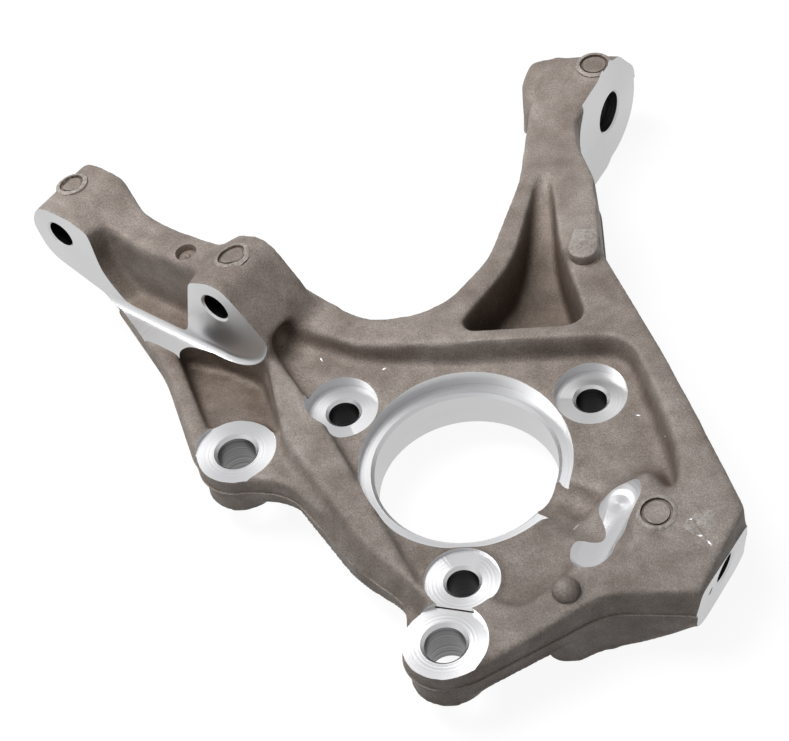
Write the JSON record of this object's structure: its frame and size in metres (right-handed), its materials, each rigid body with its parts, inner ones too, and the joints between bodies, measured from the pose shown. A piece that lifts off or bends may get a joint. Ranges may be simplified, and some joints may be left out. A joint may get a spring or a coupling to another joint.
{
  "type": "steering knuckle",
  "caption": "Cast aluminium steering knuckle with a pocketed plate round the bearing bore, a tall upper link arm and a pair of steering arm ears.",
  "frame": {"origin": "bearing bore's axis, in the plane of the machined ring round its inboard rim", "axes": "+Z inboard along the bore, away from the hub; +Y towards the upper link arm; +X completes the right hand set"},
  "size_m": [0.3439, 0.3939, 0.0912],
  "materials": {
    "cast_aluminium": "shot blasted as cast",
    "machined_aluminium": "turned or milled, bright"
  },
  "bodies": {
    "root": {"steering_knuckle": "cast_aluminium"}
  },
  "joints": []
}
